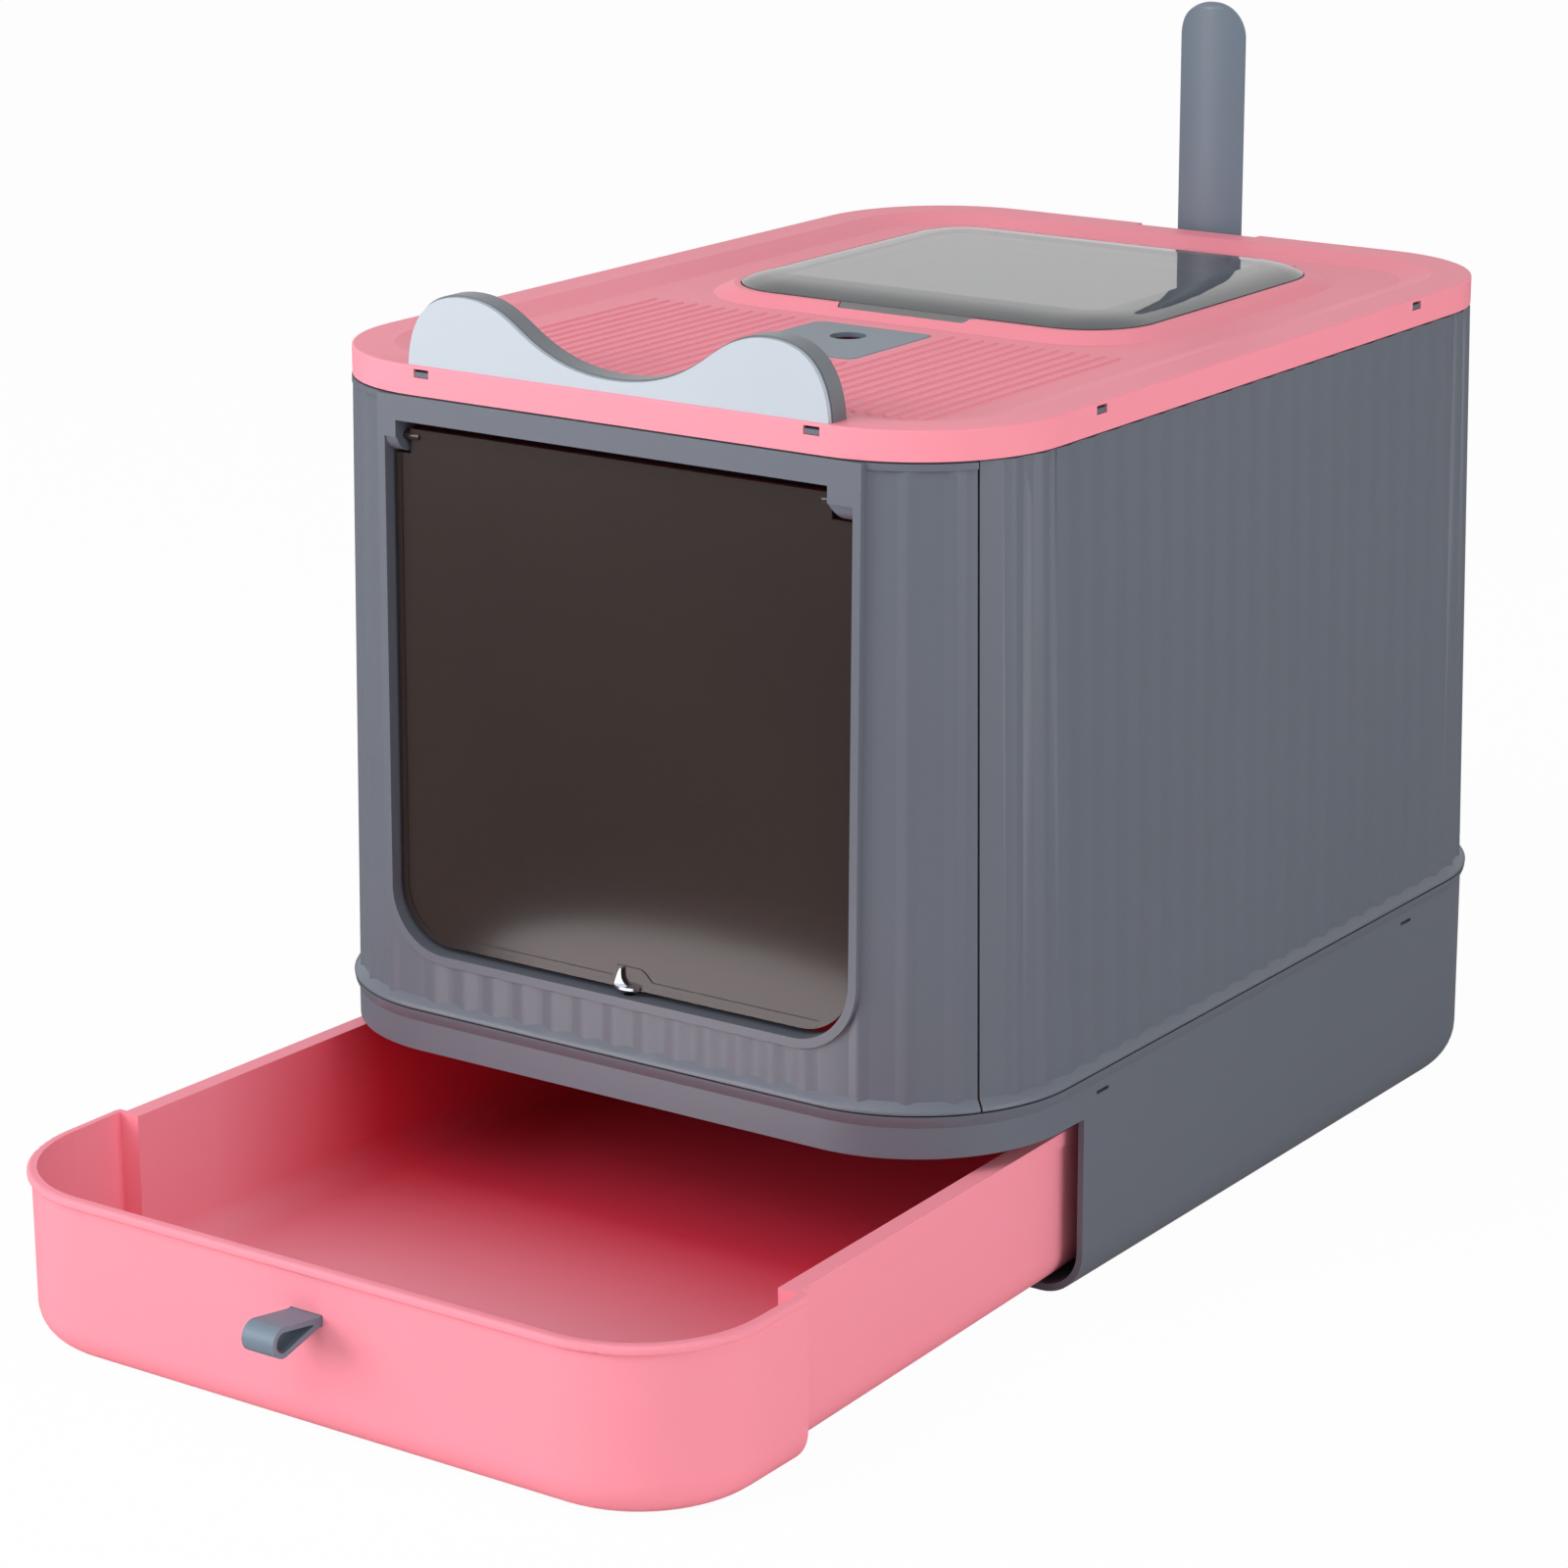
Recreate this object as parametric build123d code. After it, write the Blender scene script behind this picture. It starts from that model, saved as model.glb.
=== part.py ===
from build123d import *
from math import cos, radians, sin, tan
import os

# Drawer litter box. Millimetres, +Z up, the front faces -Y.
# The origin is the middle of the base's underside.

# ---- base ----
base_width = 388.0
base_depth = 530.0
base_corner = 79.0
base_wall = 3.0
base_floor = 3.5
base_edge = 22.0            # rounding between the floor and the walls
rim_height = 109.5          # top of the base, where the wall panels sit
bridge_height = 20.5        # band that crosses the front
rim_steps = ((8.0, 0.6), (5.0, -0.4), (2.4, -1.6), (0.0, -2.2))     # the rim turns outwards: drop, inset
front_cut = 98.0            # how far back the base is cut away for the drawer front
snap_length = 10.5
snap_height = 1.8
snap_drop = 11.0            # lower snap windows below the rim
snap_to_front = 114.0
snap_to_back = 120.0
end_snap = 108.0
barb_reach = 0.7            # how far a barb stands in its window

# ---- wall panels ----
panel_seat = 0.9            # gap between the base rim and the panels, and lid and panels
panel_inset = 1.6
panel_wall = 3.0
panel_lean = 1.05           # degrees, every wall leans in
panel_high = 403.7
foot_steps = ((0.0, -2.3), (1.2, -2.15), (2.5, -1.1), (3.8, 0.3), (5.4, 2.2))   # and so does a wall's foot
rib_low = 3.0
seam_angle = 54.4           # where the corner is split, from the front or back
seam_gap = 1.1
tongue_gap = 0.35
tongue_wall = 2.2
lower_tongue = 15.5
upper_tongue = 11.8
tongue_root = 8.0
joint_angle = 5.0           # reach of the strip behind each seam
band_height = 3.0
raise_height = 1.5          # flat frame and top band, over the ribbed wall
rib_height = 1.25
rib_sink = 0.05             # foot of a rib's wave below the wall's face
corner_sink = 0.45
rib_pitch_end = 17.6
rib_pitch_side = 19.8
rib_pitch_corner = 15.0
corner_ribs = (14.0, 30.0, 46.0, 68.0, 81.0)
seam_rib = 3                # the first corner rib of the side walls

# ---- doorway and flap ----
door_width = 260.0
door_low = 28.0             # heights along the leaning face, from the panel's foot
door_header = 12.7          # wall above the doorway
door_corner = 30.0
frame_side = 4.2
frame_foot = 4.5
frame_groove = 2.2          # groove round the flat frame
groove_depth = 1.0
frame_depth = 12.0          # how far the doorway's edge runs inwards
frame_wall = 3.0
left_boss = (6.5, 8.5)      # widths of the hinge bosses at their head and foot
right_boss = (13.4, 8.0)
boss_round = 7.0            # the foot of a boss is round about the hinge axis
pin_drop = 8.0              # hinge axis below the top of the doorway
door_inset = 6.2            # middle of the flap behind the face
flap_thick = 2.4
flap_gap = 1.8
flap_foot_gap = 3.0
flap_head = 3.6             # top of the flap above the hinge axis
flap_shoulder = 8.2         # its corners start this far below the axis
flap_rim = 2.8
flap_foot = 5.0
flap_rim_proud = 0.5
door_pin = 2.2
pin_root = 5.0              # the pins run this far into the flap
pin_fit = 0.06
catch_x = 4.0
hump_left = -4.5
hump_right = 14.5
hump_end = 23.0
hump_height = 10.3
catch_width = 13.0
catch_height = 9.5
catch_sheet = 1.3
catch_reach = 4.5
sill_round = 3.2            # magnet in the sill
sill_deep = 2.7
sill_fit = 0.1

# ---- lid ----
skirt_inset = 5.8
skirt_wall = 1.9
lid_height = 14.8           # lid's top above the panels
lid_skin = 2.2
lid_edge = 1.2
field_depth = 4.2
field_start = 20.0          # rim width before the slope
field_end = 36.0            # rim and slope
window_width = 8.5
window_height = 4.0
ridge_pitch = 8.35
ridge_width = 4.6
ridge_height = 0.8
ridge_count = 16
ridge_to_front = 49.0
ridge_to_hatch = 25.0

# ---- hatch ----
hatch_width = 232.4
hatch_depth = 209.3
hatch_corner = 36.0
hatch_to_back = 77.6        # its back edge to the back of the box
hatch_edge = 2.4
hatch_proud = 0.9           # edge of the hatch above the lid's rim
dome_steps = ((0.0, 0.0), (5.5, 2.3), (13.0, 3.9), (24.0, 4.7))      # inset and rise
hatch_gap = 0.6
hatch_ledge = 8.0
surround_top = 4.0
surround_foot = 15.0
surround_rise = 0.4
notch_drop = 2.0            # dip in the back edge where the scoop stands
hinge_back = 2.4            # hinge axis ahead of the hatch's back edge
hinge_x = 70.0
lug_width = 8.0
lug_gap = 0.35
cheek_wall = 4.0
hatch_pin = 1.2
relief_gap = 0.6
relief_end = 18.5           # its end from the side of the hatch
cheek_front = 2.6
cheek_back = 8.0
cheek_rise = 2.0
lug_skin = 0.7
lug_reach = 8.5
lug_notch = 6.2
tab_width = 78.0            # finger tab on the hatch's front edge
tab_reach = 6.8
tab_slant = 3.0
tab_thick = 1.8
tab_drop = 2.2
tab_gap = 0.5

# ---- compartment and its cover ----
cover_width = 67.0
cover_depth = 71.0
cover_to_hatch = 27.0       # its back edge to the hatch's front edge
cover_thick = 2.3
cover_corner = 5.5
cover_gap = 0.4
cover_hole = 8.8
cover_hole_back = 11.4      # hole behind the middle of the cover
box_ledge = 3.5
box_depth = 12.0
box_wall = 2.0

# ---- ear crest ----
ear_half = 117.0
ear_peak_x = 84.0
ear_peak = 34.5
ear_dip = 6.3
ear_face_thick = 2.6
ear_body_thick = 10.0
ear_front = 1.2             # behind the lid's front face
ear_border = 0.9
ear_tab = 14.0
ear_tab_x = 70.0
ear_tab_wall = 3.0
ear_tab_depth = 5.0
fit_gap = 0.3

# ---- drawer ----
drawer_out = 217.4          # how far it is pulled out at rest
drawer_drop = 8.3           # its rim below the band across the front
drawer_lift = 0.3           # clearance over the base floor
front_lift = 0.5            # drawer front over the ground
drawer_wall = 2.6
drawer_floor = 2.6
front_length = 95.0
front_corner = 61.0
front_edge = 17.0
front_shoulder = 5.0
tray_gap = 2.5              # to the base's side wall, at the front
tray_taper = 12.5           # and how much more at the back
tray_back_gap = 8.0         # to the base's back wall
tray_corner = 50.0
tray_edge = 18.0
tray_side = 8.0             # double side wall
lip_out = 1.3
lip_height = 7.0
rim_out = 2.0
rim_bead = 4.5
rim_round = 1.8
inner_edge = 14.0

# ---- drawer pull ----
pull_width = 17.5
pull_drop = 23.7            # root below the drawer's rim
pull_strap = 2.4
pull_neck = 5.0
pull_reach = 24.5
pull_sag = 1.2
pull_round = 7.0
pull_slot_gap = 0.3
pull_head = 9.0
pull_head_thick = 3.0

# ---- scoop and holder ----
scoop_lap = 1.5             # the pan starts this far inside the base's outline
scoop_hang = 156.0          # lowest point of the pan below the lid's top
handle_stand = 119.0        # top of the handle above the lid's top
pan_width = 110.0
pan_height = 128.0
pan_depth = 21.0
pan_wall = 2.4
pan_corner = 14.0
handle_width = 38.5
handle_thick = 8.5
handle_round = 3.8
handle_crown = 42.0         # radius of its rounded front
slot_count = 7
slot_width = 6.0
slot_pitch = 13.5
slot_length = 84.0
holder_wall = 2.4
holder_height = 56.0
holder_gap = 0.5
holder_peg = 3.0
holder_peg_x = 40.0

# ---- values worked out from the driving ones ----
lean = tan(radians(panel_lean))
front_y = -base_depth / 2
half_width = base_width / 2
bridge_low = rim_height - bridge_height
snap_centre = rim_height - snap_drop
side_snaps = (front_y + snap_to_front, -front_y - snap_to_back)
lid_low = panel_high + panel_seat
lid_top = panel_high + lid_height
door_high = panel_high - rim_height - door_header
panel_low = rim_height + panel_seat
corner_x = half_width - base_corner
corner_y = base_depth / 2 - base_corner
hatch_low = lid_top + hatch_proud - hatch_edge
hatch_back = base_depth / 2 - hatch_to_back
hatch_y = hatch_back - hatch_depth / 2
hatch_front = hatch_back - hatch_depth
hinge_y = hatch_back - hinge_back
hinge_z = hatch_low + hatch_edge / 2
cover_y = hatch_front - cover_to_hatch - cover_depth / 2
cover_hole_y = cover_y + cover_hole_back
ridge_front = front_y + ridge_to_front
ridge_back = hatch_front - ridge_to_hatch
drawer_top = bridge_low - drawer_drop
pull_height = drawer_top - pull_drop
tray_half_front = half_width - base_wall - tray_gap
tray_half_back = tray_half_front - tray_taper
scoop_back = base_depth / 2 - scoop_lap
scoop_low = lid_top - scoop_hang
handle_top = lid_top + handle_stand
field_z = lid_top - field_depth
field_under = field_z - 2.4
drawer_low = base_floor + drawer_lift
tray_floor = drawer_low + drawer_floor
shoulder_y = front_y + front_length
flap_axis = door_high - pin_drop
slope_high = (panel_high - panel_low) / cos(radians(panel_lean))


def plan(inset):
    """Outline of the base seen from above, moved inwards."""
    return RectangleRounded(base_width - 2 * inset, base_depth - 2 * inset, base_corner - inset)


def block(inset, low, high):
    return Pos(0, 0, low) * extrude(plan(inset), high - low)


def leaning(inset, low, high):
    """Block whose sides lean in as the wall panels do."""
    foot = plan(inset + lean * (low - panel_low))
    head = plan(inset + lean * (high - panel_low))
    return loft([Pos(0, 0, low) * foot, Pos(0, 0, high) * head], ruled=True)


def flare(steps):
    """Smooth solid through outlines given as height and inset."""
    return loft([Pos(0, 0, z) * plan(inset) for z, inset in steps])


def box(low, high):
    """Box between two corners."""
    size = [b - a for a, b in zip(low, high)]
    return Pos(*low) * Box(*size, align=(Align.MIN, Align.MIN, Align.MIN))


def rod(radius, x_low, x_high, y, z):
    """Round bar along X."""
    return Pos((x_low + x_high) / 2, y, z) * Rot(0, 90, 0) * Cylinder(radius, x_high - x_low)


def both_sides(shape):
    return shape + mirror(shape, Plane.YZ)


def wall_frame(x, y, out_x, out_y, height):
    """Frame on a leaning wall: x along it, y outwards, z up its slope."""
    angle = radians(panel_lean)
    slip = height * sin(angle)
    origin = (x - out_x * slip, y - out_y * slip, panel_low + height * cos(angle))
    up = (-out_x * sin(angle), -out_y * sin(angle), cos(angle))
    return Plane(origin=origin, x_dir=(out_y, -out_x, 0), z_dir=up)


# Face of the front panel: x to the right, y up its slope, z outwards.
face = Plane(
    origin=(0, front_y + panel_inset, panel_low),
    x_dir=(1, 0, 0),
    z_dir=(0, -cos(radians(panel_lean)), sin(radians(panel_lean))),
)


def on_face(low, high):
    """Box on the front panel, corners given along its face."""
    return face.location * box(low, high)


# ---------------------------------------------------------------- base
def make_base():
    shell = block(0, 0, rim_height)
    shell = fillet(shell.edges().group_by(Axis.Z)[0], base_edge)
    shell += flare([(rim_height - drop, inset) for drop, inset in rim_steps])
    room = block(base_wall, base_floor, rim_height + 1)
    room = fillet(room.edges().group_by(Axis.Z)[0], base_edge - base_wall)
    shell -= room
    reach = half_width + 1
    shell -= box((-reach, front_y - 1, -1), (reach, front_y + front_cut, bridge_low))
    return shell - snap_windows()


def snap_boxes(length, low, high, deep, out):
    """Boxes through the walls where the snap barbs sit, as insets from the base outline."""
    parts = Part()
    for y in side_snaps:
        near = half_width - deep
        far = half_width - out
        parts += both_sides(box((near, y - length / 2, low), (far, y + length / 2, high)))
    near = base_depth / 2 - deep
    far = base_depth / 2 - out
    parts += both_sides(box((end_snap - length / 2, near, low), (end_snap + length / 2, far, high)))
    return parts


def snap_windows():
    low = snap_centre - snap_height / 2
    return snap_boxes(snap_length, low, low + snap_height, base_wall + 1, -1)


# ---------------------------------------------------------------- wall panels
def panel_ring():
    """All four walls in one piece, before the corners are split."""
    shell = leaning(panel_inset, panel_low, panel_high)
    shell += flare([(panel_low + rise, inset) for rise, inset in foot_steps])
    shell -= leaning(panel_inset + panel_wall, panel_low - 1, panel_high + 1)
    lower_out = base_wall + tongue_gap
    lower = block(lower_out, panel_low - lower_tongue, panel_low + tongue_root)
    lower -= block(lower_out + tongue_wall, panel_low - lower_tongue - 1, panel_low + tongue_root + 1)
    upper_out = upper_tongue_inset()
    top = panel_high + upper_tongue
    upper = leaning(upper_out, panel_high - tongue_root, top)
    upper -= leaning(upper_out + tongue_wall, panel_high - tongue_root - 1, top + 1)
    return shell + lower + upper


def upper_tongue_inset():
    """Inset at the panel's foot that puts the upper tongue just inside the lid's skirt."""
    return skirt_inset + skirt_wall + tongue_gap - lean * (panel_high - panel_low)


def seam_cuts():
    cuts = Part()
    length = 4 * panel_wall + 30
    tall = panel_high + upper_tongue + 20
    for side in (1, -1):
        for end in (1, -1):
            turn = seam_angle if side * end < 0 else -seam_angle
            cut = Box(seam_gap, length, tall, align=(Align.CENTER, Align.MIN, Align.MIN))
            heading = turn if end > 0 else turn + 180
            reach = base_corner - length / 2
            cuts += Pos(side * corner_x, end * corner_y, 50) * Rot(0, 0, heading) * Pos(0, reach, 0) * cut
    return cuts


def sector(side, end, start, stop):
    """Wedge at one corner, from the start angle to the stop angle off the end wall."""
    reach = 2 * base_corner
    points = [(side * corner_x, end * corner_y)]
    for angle in (start, (start + stop) / 2, stop):
        turn = radians(angle)
        points.append((side * (corner_x + reach * sin(turn)), end * (corner_y + reach * cos(turn))))
    wedge = make_face(Polyline(*points, close=True))
    return extrude(wedge, panel_high + lid_height)


def seam_strips(side):
    """Strips of a side panel that reach behind the end panels at its two seams."""
    low = panel_low + tongue_root + 1
    high = panel_high - tongue_root - 1
    inner = panel_inset + panel_wall
    thin = leaning(inner + tongue_gap, low, high) - leaning(inner + tongue_wall, low - 1, high + 1)
    root = leaning(inner - 0.5, low, high) - leaning(inner + tongue_wall, low - 1, high + 1)
    strips = Part()
    for end in (1, -1):
        strips += thin & sector(side, end, seam_angle - joint_angle, seam_angle + joint_angle)
        strips += root & sector(side, end, seam_angle + 1, seam_angle + joint_angle)
    return strips


def rib(x, y, out_x, out_y, low, high, pitch, sink=rib_sink):
    """Soft wave up a wall, between two heights along the slope."""
    half = pitch / 2
    crown = Spline((-half, -sink), (0, rib_height), (half, -sink), tangents=[(1, 0), (1, 0)])
    back = Polyline((half, -sink), (half, -1), (-half, -1), (-half, -sink))
    profile = make_face([crown, *back.edges()])
    return wall_frame(x, y, out_x, out_y, low).location * extrude(profile, high - low)


def corner_rib(side, end, angle, low, high):
    turn = radians(angle)
    out_x = side * sin(turn)
    out_y = end * cos(turn)
    radius = base_corner - panel_inset
    x, y = side * corner_x + radius * out_x, end * corner_y + radius * out_y
    return rib(x, y, out_x, out_y, low, high, rib_pitch_corner, corner_sink)


def rib_places(half, pitch):
    count = int((half + pitch / 4) / pitch)
    return [pitch * k for k in range(-count, count + 1)]


def side_ribs(side):
    ribs = Part()
    for y in rib_places(corner_y, rib_pitch_side):
        ribs += rib(side * (half_width - panel_inset), y, side, 0, rib_low, slope_high, rib_pitch_side)
    for end in (1, -1):
        for angle in corner_ribs[seam_rib:]:
            ribs += corner_rib(side, end, angle, rib_low, slope_high)
    return ribs


def end_ribs(end, clear):
    """Ribs of an end wall. Those nearer the middle than clear are short."""
    ribs = Part()
    for x in rib_places(corner_x, rib_pitch_end):
        if abs(x) > clear:
            ribs += rib(x, end * (base_depth / 2 - panel_inset), 0, end, rib_low, slope_high, rib_pitch_end)
    for side in (1, -1):
        for angle in corner_ribs[:seam_rib]:
            ribs += corner_rib(side, end, angle, rib_low, slope_high)
    return ribs


def lower_barbs():
    low = snap_centre - snap_height / 2 + fit_gap
    length = snap_length - 2 * fit_gap
    return snap_boxes(length, low, low + snap_height - 2 * fit_gap, base_wall + 1, base_wall - barb_reach)


window_low = lid_top - lid_skin - window_height + 0.6


def lid_windows(width, low, high, deep, out):
    """Boxes through the lid's skirt, or the barbs in them, as insets from the base outline."""
    parts = snap_boxes(width, low, high, deep, out)
    near = base_depth / 2 - out
    far = base_depth / 2 - deep
    parts += both_sides(box((end_snap - width / 2, -near, low), (end_snap + width / 2, -far, high)))
    return parts


def upper_barbs():
    low = window_low + fit_gap
    high = panel_high + upper_tongue
    return lid_windows(window_width - 2 * fit_gap, low, high, skirt_inset + skirt_wall + 1.2, skirt_inset + fit_gap)


def make_panels():
    ring = panel_ring() - seam_cuts() + lower_barbs() + upper_barbs()
    solids = ring.solids()
    front = solids.sort_by(Axis.Y)[0]
    back = solids.sort_by(Axis.Y)[-1]
    left = solids.sort_by(Axis.X)[0]
    right = solids.sort_by(Axis.X)[-1]
    right = Part() + right + seam_strips(1) + side_ribs(1)
    left = Part() + left + seam_strips(-1) + side_ribs(-1)
    back = Part() + back + end_ribs(1, pan_width / 2 + 8) - holder_pegs(0.2)
    return make_front(Part() + front), right, left, back


def doorway(grow, low, high):
    """Doorway shape across the face, from one depth to another."""
    width = door_width + 2 * grow
    tall = door_high - door_low + 2 * grow
    shape = Rectangle(width, tall, align=(Align.CENTER, Align.MIN))
    foot = shape.vertices().group_by(Axis.Y)[0]
    shape = fillet(foot, door_corner + grow)
    return face.location * Pos(0, door_low - grow, low) * extrude(shape, high - low)


def frame_block(grow, low, high):
    """Flat frame round the doorway, up to the panel's top, from one depth to another."""
    half = door_width / 2 + frame_side + grow
    foot = door_low - frame_foot - grow
    plate = Rectangle(2 * half, slope_high - foot, align=(Align.CENTER, Align.MIN))
    plate = fillet(plate.vertices().group_by(Axis.Y)[0], door_corner + frame_side + grow)
    return face.location * Pos(0, foot, low) * extrude(plate, high - low)


def top_band():
    """Smooth band along the top of the front panel."""
    band = leaning(panel_inset - raise_height, panel_high - band_height, panel_high)
    band -= leaning(panel_inset + 1, panel_high - band_height - 1, panel_high + 1)
    reach = Part() + sector(1, -1, -1, seam_angle) + sector(-1, -1, -1, seam_angle)
    reach += box((-corner_x, front_y - 1, 0), (corner_x, -corner_y, lid_top))
    return (band & reach) - seam_cuts()


def boss(side, widths):
    """Hinge boss in a top corner of the doorway, its foot round about the hinge axis."""
    edge = side * door_width / 2
    head, foot = widths
    low = flap_axis - boss_round
    corners = [
        (edge + side, door_high + 1),
        (edge - side * head, door_high + 1),
        (edge - side * head, flap_axis),
        (edge - side * foot, low),
        (edge + side, low),
    ]
    block_shape = extrude(make_face(Polyline(*corners, close=True)), frame_depth + raise_height)
    near, far = edge - 2 * boss_round, edge + 2 * boss_round
    limit = box((near, flap_axis, -frame_depth - 1), (far, door_high + 2, raise_height + 1))
    limit += rod(boss_round, near, far, flap_axis, -door_inset)
    return face.location * ((Pos(0, 0, -frame_depth) * block_shape) & limit)


def make_front(front):
    for x in rib_places(corner_x, rib_pitch_end):
        high = slope_high - band_height / 2
        if abs(x) < door_width / 2 + frame_side:
            high = door_low - 1
        front += rib(x, front_y + panel_inset, 0, -1, rib_low, high, rib_pitch_end)
    for side in (1, -1):
        for angle in corner_ribs[:seam_rib]:
            front += corner_rib(side, -1, angle, rib_low, slope_high - band_height / 2)
    groove = frame_block(frame_groove, -groove_depth, rib_height + 1)
    front -= groove & on_face((-half_width, door_low + door_corner, -9), (half_width, slope_high + 1, 9))
    front -= frame_block(fit_gap, rib_sink, rib_height + 1)
    front += frame_block(0, -groove_depth - 0.5, raise_height) + top_band()
    front += doorway(frame_wall, -frame_depth, 0)
    front -= doorway(0, -frame_depth - 5, raise_height + 5)
    front += boss(-1, left_boss) + boss(1, right_boss)
    reach = door_width / 2 - fit_gap
    front -= face.location * rod(door_pin + pin_fit, -reach, reach, flap_axis, -door_inset)
    return front - sill_plug(sill_round, -sill_deep, fit_gap)


def sill_plug(radius, low, high):
    """Round plug in the sill under the catch, between two heights over the sill."""
    plug = Rot(90, 0, 0) * Cylinder(radius, high - low)
    return face.location * Pos(catch_x, door_low + (low + high) / 2, -door_inset) * plug


# ---------------------------------------------------------------- flap
def make_door():
    low = door_low + flap_foot_gap
    tall = flap_axis + flap_head - low
    half = door_width / 2 - flap_gap
    shape = Rectangle(2 * half, tall, align=(Align.CENTER, Align.MIN))
    shape = fillet(shape.vertices().group_by(Axis.Y)[0], door_corner - flap_gap)
    inner = offset(shape, amount=-flap_rim, kind=Kind.INTERSECTION)
    inner -= Rectangle(2 * half, flap_foot, align=(Align.CENTER, Align.MIN))
    rim_thick = flap_thick + 2 * flap_rim_proud
    hump = make_face(Polyline(
        (hump_left, 0), (hump_left, hump_height - 2), (hump_left + 2, hump_height),
        (hump_right - 3, hump_height), (hump_right, hump_height - 2), (hump_end, 0), close=True,
    ))
    door = Pos(0, low, -flap_thick / 2) * extrude(shape, flap_thick)
    door += Pos(0, low, -rim_thick / 2) * extrude(shape - inner + hump, rim_thick)
    foot = flap_axis - flap_shoulder
    left = -door_width / 2 + max(left_boss) + flap_gap
    right = door_width / 2 - max(right_boss) - flap_gap
    high, deep = flap_axis + 2 * flap_head, 2 * flap_thick
    door -= box((-half - 1, foot, -deep), (left, high, deep))
    door -= box((right, foot, -deep), (half + 1, high, deep))
    pin_end = door_width / 2 - 2 * fit_gap
    door += rod(door_pin, -pin_end, left + pin_root, flap_axis, 0)
    door += rod(door_pin, right - pin_root, pin_end, flap_axis, 0)
    return face.location * Pos(0, 0, -door_inset) * door


def make_catch():
    """Bright tongue on the flap's foot: a crescent to pull at and a fin that rises from it."""
    front = -door_inset + flap_thick / 2 + flap_rim_proud
    half = catch_width / 2
    waist, root = 0.28 * catch_width, 0.6 * catch_width
    middle = 0.45 * catch_height
    crescent = extrude(Ellipse(half + 1, catch_reach), catch_sheet)
    crescent &= box((-catch_width, 0, -1), (catch_width, catch_reach + 1, catch_sheet + 1))
    crescent = Pos(0, catch_sheet, 0) * Rot(90, 0, 0) * crescent
    peak = -half + waist
    left = Spline((-half, 0), (-half + 0.3 * waist, middle), (peak, catch_height), tangents=[(0, 1), (1, 1)])
    right = Spline(
        (peak + 0.4, catch_height), (peak + 0.8, middle), (-half + root, catch_sheet),
        tangents=[(0, -1), (1, -0.3)],
    )
    tip = Line(left @ 1, right @ 0)
    foot = Polyline(right @ 1, (-half + root, 0), left @ 0)
    fin = Pos(0, 0, catch_sheet / 2) * extrude(make_face([left, tip, right, *foot.edges()]), catch_sheet)
    fin += box((-half, 0, 0), (-half + waist, catch_sheet, catch_sheet))
    return face.location * Pos(catch_x, door_low + flap_foot_gap + fit_gap, front) * (crescent + fin)


# ---------------------------------------------------------------- lid
def hatch_plan(grow):
    return RectangleRounded(hatch_width + 2 * grow, hatch_depth + 2 * grow, hatch_corner + grow)


def hatch_block(grow, low, high):
    return Pos(0, hatch_y, low) * extrude(hatch_plan(grow), high - low)


def make_lid():
    lid = block(skirt_inset, lid_low, lid_top)
    lid = fillet(lid.edges().group_by(Axis.Z)[-1], lid_edge)
    start = plan(skirt_inset + field_start)
    end = plan(skirt_inset + field_end)
    lid -= loft([Pos(0, 0, field_z) * end, Pos(0, 0, lid_top) * start], ruled=True)
    lid -= block(skirt_inset + field_start - 1, lid_top, lid_top + 5)
    foot = Pos(0, hatch_y, field_z - 0.5) * hatch_plan(surround_foot)
    head = Pos(0, hatch_y, lid_top + surround_rise) * hatch_plan(surround_top)
    lid += loft([foot, head], ruled=True)
    for k in range(-ridge_count, ridge_count + 1):
        x = ridge_pitch * k
        back = ridge_back
        if abs(x) < cover_width / 2 + ridge_pitch / 2:
            back = cover_y - cover_depth / 2 - ridge_width
        ridge = SlotOverall(back - ridge_front, ridge_width, rotation=90)
        ridge = extrude(ridge, ridge_height, taper=35)
        lid += Pos(x, (back + ridge_front) / 2, field_z) * ridge
    inner = skirt_inset + skirt_wall
    lid -= block(inner, lid_low - 1, field_under)
    groove = block(inner, field_under - 1, lid_top - lid_skin)
    groove -= block(skirt_inset + field_start - 1, field_under - 2, lid_top)
    lid -= groove
    half_x = cover_width / 2 + box_wall
    half_y = cover_depth / 2 + box_wall
    low = field_under - box_depth
    lid += box((-half_x, cover_y - half_y, low), (half_x, cover_y + half_y, field_under + 1))
    recess = RectangleRounded(cover_width + 2 * cover_gap, cover_depth + 2 * cover_gap, cover_corner + cover_gap)
    lid -= Pos(0, cover_y, field_under) * extrude(recess, 10)
    room = RectangleRounded(cover_width - 2 * box_ledge, cover_depth - 2 * box_ledge, cover_corner - 1)
    lid -= Pos(0, cover_y, low + box_wall) * extrude(room, box_depth)
    lid -= hatch_block(hatch_gap, hatch_low - fit_gap, lid_top + 9)
    lid -= hatch_block(-hatch_ledge, field_under - 5, lid_top + 9)
    lid -= extrude(tab_plan(tab_gap, field_under + 1.2), 20)
    lid = lid - hinge_relief() + hinge_cheeks()
    reach = hinge_x + lug_width / 2 + lug_gap + cheek_wall / 2
    near = hinge_x - lug_width / 2 - lug_gap - cheek_wall / 2
    lid -= both_sides(rod(hatch_pin + pin_fit, near, reach, hinge_y, hinge_z))
    lid -= lid_windows(window_width, window_low, window_low + window_height, skirt_inset + skirt_wall + 1, 0)
    lid -= ear_tabs(fit_gap)
    return lid - scoop_notch()


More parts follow.
